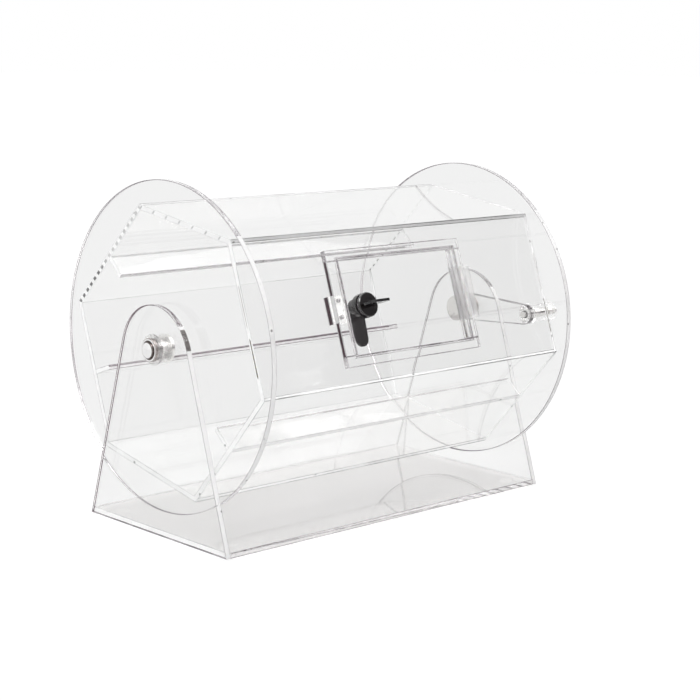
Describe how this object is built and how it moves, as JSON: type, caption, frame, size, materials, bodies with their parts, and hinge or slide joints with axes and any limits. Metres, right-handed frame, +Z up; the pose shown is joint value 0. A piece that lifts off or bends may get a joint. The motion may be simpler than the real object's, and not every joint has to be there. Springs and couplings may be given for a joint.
{
  "type": "raffle drum",
  "caption": "Clear acrylic raffle drum: a hexagonal tumbling box between round discs, turned by a crank on a flat stand, with a hinged door and cam lock for the tickets.",
  "frame": {"origin": "on the surface that the feet stand on, under the middle of the overall length, from the left axle cap to the end of the crank's grip", "axes": "+X along the axle towards the crank, -Y towards the side with the door, +Z up"},
  "size_m": [0.462, 0.3, 0.322],
  "materials": {
    "clear_acrylic": "clear cast sheet with polished faces and sawn edges",
    "base_acrylic": "clear cast sheet, faintly warm",
    "clear_nylon": "clear turned plastic",
    "hinge_plastic": "clear moulded plastic",
    "clear_rubber": "clear soft bumper",
    "chrome": "bright plated",
    "steel": "drawn wire",
    "black_metal": "glossy black plating",
    "black_key": "glossy black"
  },
  "bodies": {
    "stand": {"base_plate": "base_acrylic", "bumper_feet": "clear_rubber", "left_upright": "clear_acrylic", "right_upright": "clear_acrylic", "left_bush": "clear_nylon", "right_bush": "clear_nylon"},
    "drum": {"left_disc": "clear_acrylic", "right_disc": "clear_acrylic", "door_side": "clear_acrylic", "top_side": "clear_acrylic", "rear_upper_side": "clear_acrylic", "rear_lower_side": "clear_acrylic", "bottom_side": "clear_acrylic", "front_lower_side": "clear_acrylic", "rear_upper_fin": "clear_acrylic", "rear_lower_fin": "clear_acrylic", "front_lower_fin": "clear_acrylic", "upper_stop_rail": "clear_acrylic", "lower_stop_rail": "clear_acrylic", "keeper_stop_stile": "clear_acrylic", "hinge_stop_stile": "clear_acrylic", "lock_keeper": "clear_acrylic", "keeper_screws": "chrome", "hinge_fixed_leaf": "hinge_plastic", "hinge_pin": "steel", "left_axle": "chrome", "right_axle": "chrome", "left_collar": "clear_nylon", "right_collar": "clear_nylon", "left_axle_cap": "chrome", "right_axle_cap": "chrome", "crank_arm": "clear_acrylic", "grip_screw": "chrome"},
    "door": {"door_leaf": "clear_acrylic", "hinge_door_leaf": "hinge_plastic", "lock_barrel": "black_metal", "lock_nut": "black_metal"},
    "lock_core": {"lock_plug": "black_metal", "lock_cam": "black_metal", "cam_screw": "chrome"},
    "key": {"lock_key": "black_key"},
    "grip": {"crank_grip": "clear_acrylic"}
  },
  "joints": [
    {"name": "drum_spin", "type": "hinge", "parent": "stand", "child": "drum", "pos_m": [-0.0204, 0, 0.172], "axis": [1, 0, 0], "continuous": true},
    {"name": "door_swing", "type": "hinge", "parent": "drum", "child": "door", "pos_m": [0.0541, -0.11745, 0.21221], "axis": [0, 0.3239, 0.9461], "range_deg": [0, 154]},
    {"name": "lock_turn", "type": "hinge", "parent": "door", "child": "lock_core", "pos_m": [-0.0704, -0.11471, 0.21127], "axis": [0, 0.9461, -0.3239], "range_deg": [0, 90]},
    {"name": "key_pull", "type": "slide", "parent": "lock_core", "child": "key", "axis": [0, -0.9461, 0.3239], "range_m": [0, 0.016]},
    {"name": "grip_spin", "type": "hinge", "parent": "drum", "child": "grip", "pos_m": [0.2086, -0.075, 0.172], "axis": [1, 0, 0], "continuous": true}
  ]
}
